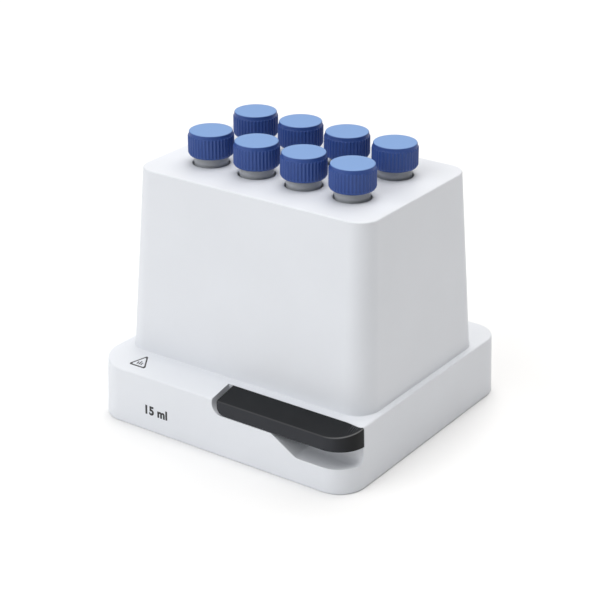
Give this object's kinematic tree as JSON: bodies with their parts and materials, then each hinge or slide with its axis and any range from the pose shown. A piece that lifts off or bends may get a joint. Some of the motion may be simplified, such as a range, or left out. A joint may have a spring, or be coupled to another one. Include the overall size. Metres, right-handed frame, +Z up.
{
  "type": "tempering block for tubes",
  "caption": "Exchangeable tempering block for a laboratory mixer: tapered white hood on a wider base, a black lift-up release lever at the front right, and screw-cap conical tubes in its wells.",
  "frame": {"origin": "middle of the base's footprint, on the surface that the block stands on", "axes": "+X to the right along the longer row of tubes, +Y to the back, away from the lever, +Z up along the tubes"},
  "size_m": [0.1484, 0.1404, 0.1383],
  "materials": {
    "housing_white": "satin moulded, white",
    "frame_grey": "fine textured, grey",
    "block_alloy": "milled",
    "jacket_foam": "closed-cell foam sheet",
    "lever_black": "fine satin, black",
    "steel": "zinc plated",
    "guide_plastic": "natural acetal",
    "tube_clear": "translucent polypropylene",
    "cap_blue": "satin ribbed, blue"
  },
  "bodies": {
    "block": {"housing_shell": "housing_white", "bottom_frame": "frame_grey", "contact_plate": "block_alloy", "heat_block": "block_alloy", "insulation_jacket": "jacket_foam", "shaft_bush": "guide_plastic", "slide_guide_left": "guide_plastic", "slide_guide_right": "guide_plastic", "guide_screw_left": "steel", "guide_screw_right": "steel", "frame_screw_1": "steel", "frame_screw_2": "steel", "frame_screw_3": "steel", "frame_screw_4": "steel", "plate_screw_1": "steel", "plate_screw_2": "steel", "plate_screw_3": "steel", "plate_screw_4": "steel"},
    "lever": {"release_lever": "lever_black", "lever_shaft": "steel", "latch_crank": "steel"},
    "latch": {"latch_slide": "steel"},
    "tube_1": {"tube_1": "tube_clear"},
    "tube_2": {"tube_2": "tube_clear"},
    "tube_3": {"tube_3": "tube_clear"},
    "tube_4": {"tube_4": "tube_clear"},
    "tube_5": {"tube_5": "tube_clear"},
    "tube_6": {"tube_6": "tube_clear"},
    "tube_7": {"tube_7": "tube_clear"},
    "tube_8": {"tube_8": "tube_clear"},
    "cap_1": {"cap_1": "cap_blue"},
    "cap_2": {"cap_2": "cap_blue"},
    "cap_3": {"cap_3": "cap_blue"},
    "cap_4": {"cap_4": "cap_blue"},
    "cap_5": {"cap_5": "cap_blue"},
    "cap_6": {"cap_6": "cap_blue"},
    "cap_7": {"cap_7": "cap_blue"},
    "cap_8": {"cap_8": "cap_blue"}
  },
  "joints": [
    {"name": "lever_lift", "type": "hinge", "parent": "block", "child": "lever", "pos_m": [0.0044, -0.06, 0.0256], "axis": [0, -1, 0], "range_deg": [0, 50]},
    {"name": "latch_slide", "type": "slide", "parent": "block", "child": "latch", "axis": [1, 0, 0], "range_m": [0, 0.00507]},
    {"name": "tube_1_lift", "type": "slide", "parent": "block", "child": "tube_1", "axis": [0, 0, 1], "range_m": [0, 0.13]},
    {"name": "tube_2_lift", "type": "slide", "parent": "block", "child": "tube_2", "axis": [0, 0, 1], "range_m": [0, 0.13]},
    {"name": "tube_3_lift", "type": "slide", "parent": "block", "child": "tube_3", "axis": [0, 0, 1], "range_m": [0, 0.13]},
    {"name": "tube_4_lift", "type": "slide", "parent": "block", "child": "tube_4", "axis": [0, 0, 1], "range_m": [0, 0.13]},
    {"name": "tube_5_lift", "type": "slide", "parent": "block", "child": "tube_5", "axis": [0, 0, 1], "range_m": [0, 0.13]},
    {"name": "tube_6_lift", "type": "slide", "parent": "block", "child": "tube_6", "axis": [0, 0, 1], "range_m": [0, 0.13]},
    {"name": "tube_7_lift", "type": "slide", "parent": "block", "child": "tube_7", "axis": [0, 0, 1], "range_m": [0, 0.13]},
    {"name": "tube_8_lift", "type": "slide", "parent": "block", "child": "tube_8", "axis": [0, 0, 1], "range_m": [0, 0.13]},
    {"name": "cap_1_turn", "type": "hinge", "parent": "tube_1", "child": "cap_1", "pos_m": [-0.0402, -0.0178, 0.1324], "axis": [0, 0, 1], "range_deg": [0, 540]},
    {"name": "cap_2_turn", "type": "hinge", "parent": "tube_2", "child": "cap_2", "pos_m": [-0.0134, -0.0178, 0.1324], "axis": [0, 0, 1], "range_deg": [0, 540]},
    {"name": "cap_3_turn", "type": "hinge", "parent": "tube_3", "child": "cap_3", "pos_m": [0.0134, -0.0178, 0.1324], "axis": [0, 0, 1], "range_deg": [0, 540]},
    {"name": "cap_4_turn", "type": "hinge", "parent": "tube_4", "child": "cap_4", "pos_m": [0.0402, -0.0178, 0.1324], "axis": [0, 0, 1], "range_deg": [0, 540]},
    {"name": "cap_5_turn", "type": "hinge", "parent": "tube_5", "child": "cap_5", "pos_m": [-0.0402, 0.0178, 0.1324], "axis": [0, 0, 1], "range_deg": [0, 540]},
    {"name": "cap_6_turn", "type": "hinge", "parent": "tube_6", "child": "cap_6", "pos_m": [-0.0134, 0.0178, 0.1324], "axis": [0, 0, 1], "range_deg": [0, 540]},
    {"name": "cap_7_turn", "type": "hinge", "parent": "tube_7", "child": "cap_7", "pos_m": [0.0134, 0.0178, 0.1324], "axis": [0, 0, 1], "range_deg": [0, 540]},
    {"name": "cap_8_turn", "type": "hinge", "parent": "tube_8", "child": "cap_8", "pos_m": [0.0402, 0.0178, 0.1324], "axis": [0, 0, 1], "range_deg": [0, 540]}
  ],
  "couplings": [
    {"joint": "latch_slide", "follows": "lever_lift", "m_per_rad": 0.005811}
  ]
}
